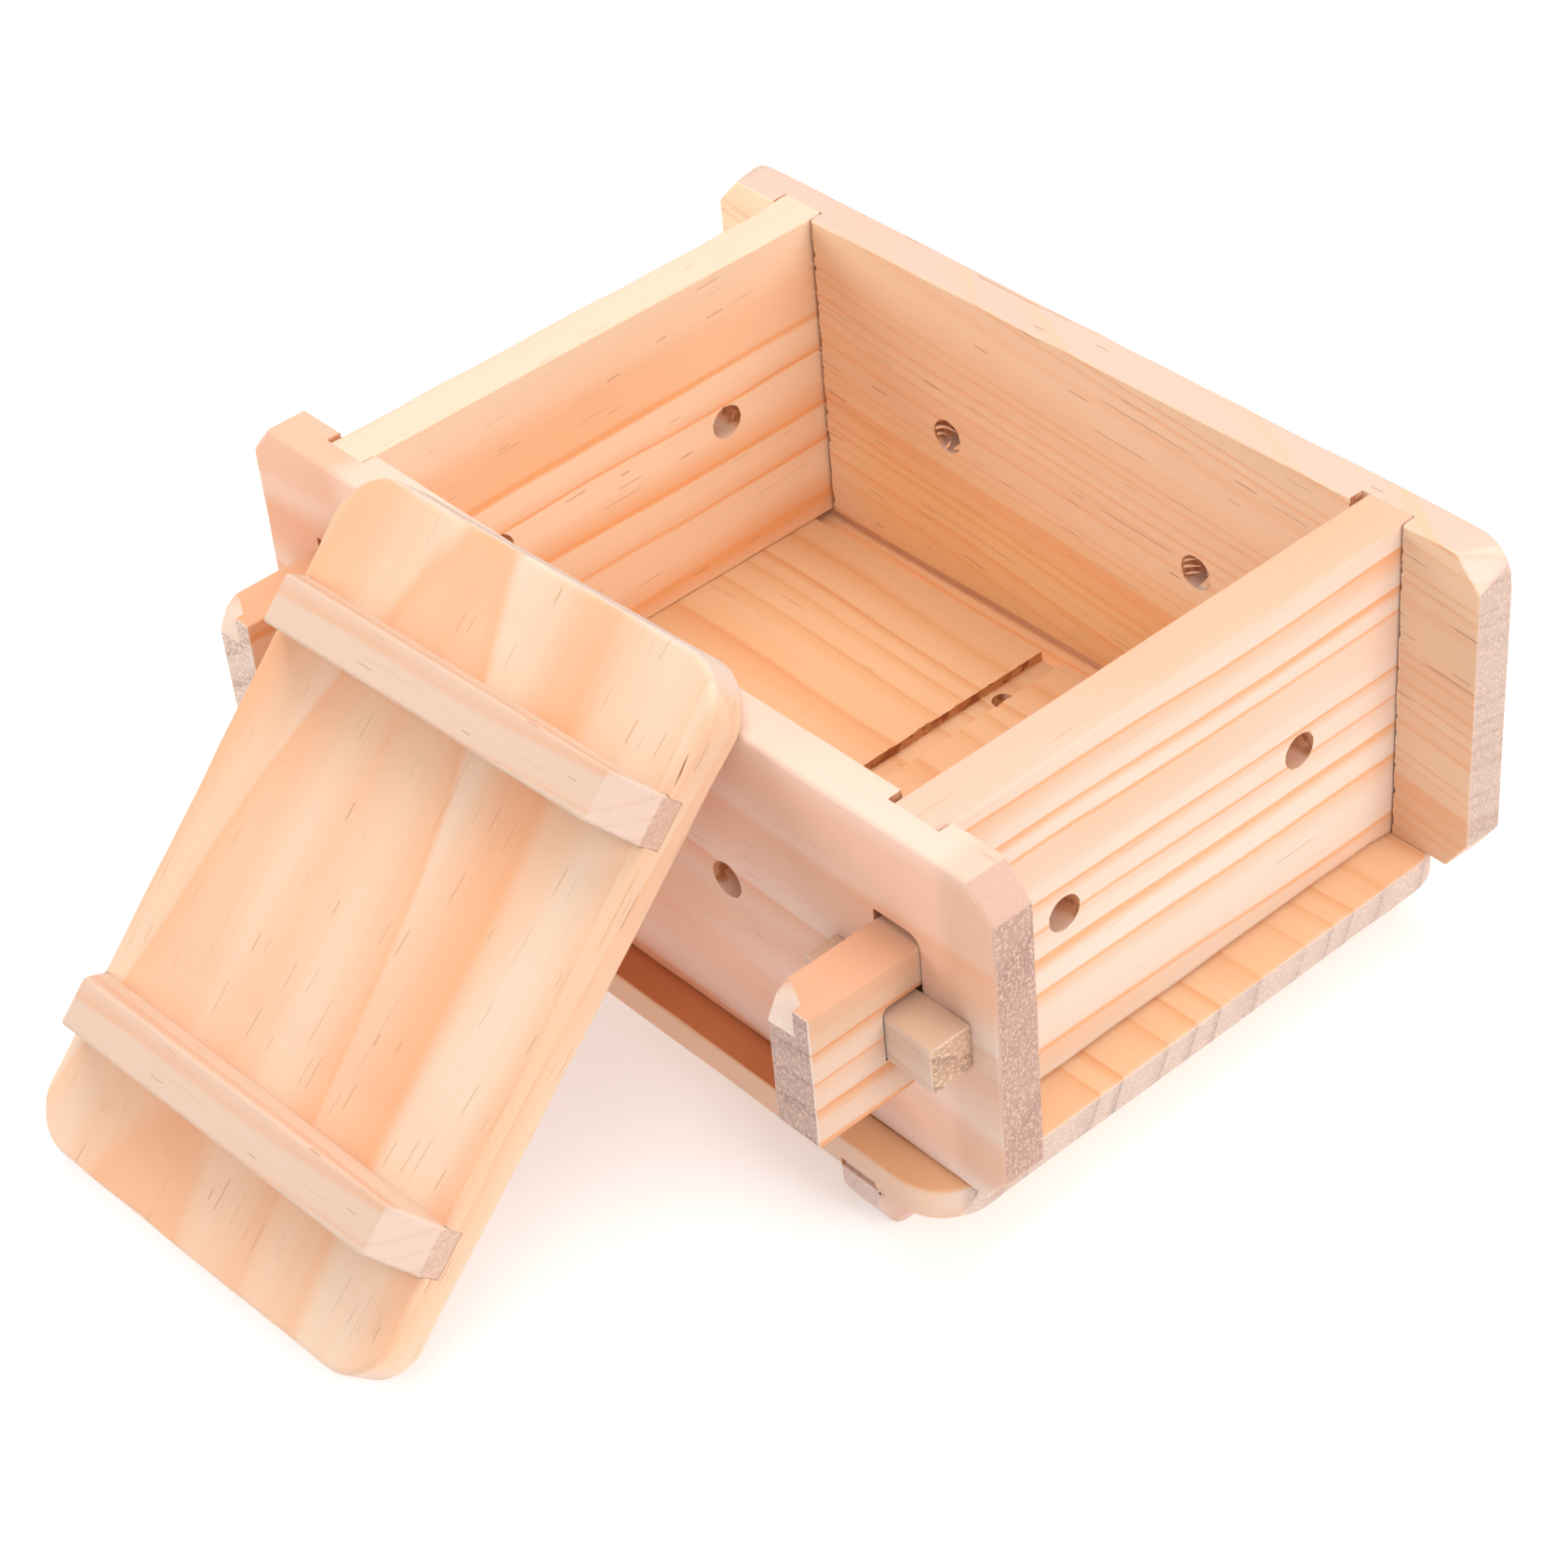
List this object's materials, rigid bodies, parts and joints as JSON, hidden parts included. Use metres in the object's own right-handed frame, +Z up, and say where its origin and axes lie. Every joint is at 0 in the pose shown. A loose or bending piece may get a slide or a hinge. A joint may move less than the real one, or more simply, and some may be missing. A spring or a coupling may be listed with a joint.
{
  "type": "pine pressing box",
  "caption": "Knock-down wooden press box with drain holes, through tenons locked by wedges, a grooved base on feet, and a battened pressing lid leaning on its front wall.",
  "frame": {"origin": "on the surface under the feet, at the centre of the whole footprint, the leaning lid included", "axes": "+Z up, +X along the long side walls towards the right end wall, -Y towards the leaning lid"},
  "size_m": [0.22, 0.2714, 0.1132],
  "materials": {
    "side_wall_pine": "bare planed and sanded pine, matt",
    "end_wall_pine": "bare planed and sanded pine, matt",
    "wedge_pine": "bare planed and sanded pine, matt",
    "base_pine": "bare planed and sanded pine, matt",
    "foot_pine": "bare planed and sanded pine, matt",
    "lid_pine": "bare planed and sanded pine, matt",
    "batten_pine": "bare planed and sanded pine, matt"
  },
  "bodies": {
    "base": {"base_board": "base_pine", "left_foot": "foot_pine", "right_foot": "foot_pine"},
    "walls": {"front_wall": "side_wall_pine", "rear_wall": "side_wall_pine", "left_end_wall": "end_wall_pine", "right_end_wall": "end_wall_pine"},
    "front_left_wedge": {"front_left_wedge": "wedge_pine"},
    "front_right_wedge": {"front_right_wedge": "wedge_pine"},
    "rear_left_wedge": {"rear_left_wedge": "wedge_pine"},
    "rear_right_wedge": {"rear_right_wedge": "wedge_pine"},
    "lid": {"lid_board": "lid_pine", "lower_lid_batten": "batten_pine", "upper_lid_batten": "batten_pine"}
  },
  "joints": [
    {"name": "frame_lift", "type": "slide", "parent": "base", "child": "walls", "axis": [0, 0, 1], "range_m": [0, 0.06]},
    {"name": "front_left_wedge_slide", "type": "slide", "parent": "walls", "child": "front_left_wedge", "axis": [-1, 0, 0], "range_m": [0, 0.03]},
    {"name": "front_right_wedge_slide", "type": "slide", "parent": "walls", "child": "front_right_wedge", "axis": [1, 0, 0], "range_m": [0, 0.03]},
    {"name": "rear_left_wedge_slide", "type": "slide", "parent": "walls", "child": "rear_left_wedge", "axis": [-1, 0, 0], "range_m": [0, 0.03]},
    {"name": "rear_right_wedge_slide", "type": "slide", "parent": "walls", "child": "rear_right_wedge", "axis": [1, 0, 0], "range_m": [0, 0.03]},
    {"name": "lid_lift", "type": "slide", "parent": "walls", "child": "lid", "axis": [0, 0, 1], "range_m": [0, 0.06]}
  ]
}
